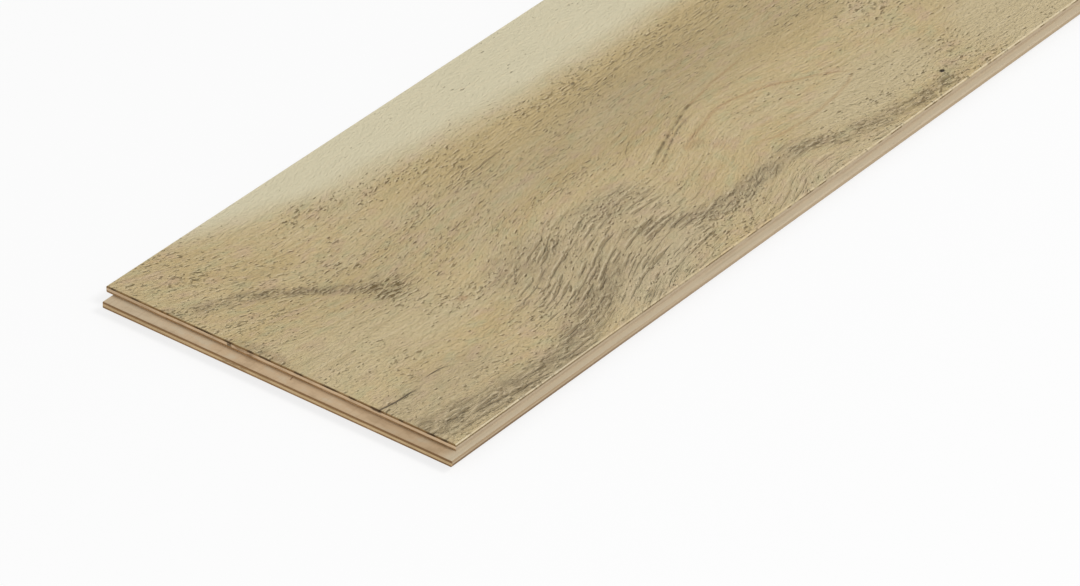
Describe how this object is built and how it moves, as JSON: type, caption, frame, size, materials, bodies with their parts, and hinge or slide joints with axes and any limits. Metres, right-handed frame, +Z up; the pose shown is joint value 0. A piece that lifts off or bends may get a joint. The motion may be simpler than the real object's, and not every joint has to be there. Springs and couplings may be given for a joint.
{
  "type": "engineered floorboard",
  "caption": "Long engineered floorboard: a brushed hardwood face on cross-laid plies, with tongues on adjoining edges and matching grooves opposite, so boards lock edge to edge.",
  "frame": {"origin": "middle of the underside, below the middle of the face", "axes": "+X across the board towards the long tongue, +Y along the board away from the end tongue, +Z up out of the face"},
  "size_m": [0.1936, 1.2268, 0.0095],
  "materials": {
    "hardwood_face": "brushed, matt lacquer",
    "cross_ply": "sawn",
    "long_ply": "sawn",
    "backing": "sanded"
  },
  "bodies": {
    "root": {"wear_layer": "hardwood_face", "upper_cross_ply": "cross_ply", "upper_long_ply_lip": "long_ply", "upper_long_ply_tongue": "long_ply", "centre_cross_ply": "cross_ply", "lower_long_ply_tongue": "long_ply", "lower_long_ply_lip": "long_ply", "lower_cross_ply": "cross_ply", "backing_veneer": "backing"}
  },
  "joints": []
}
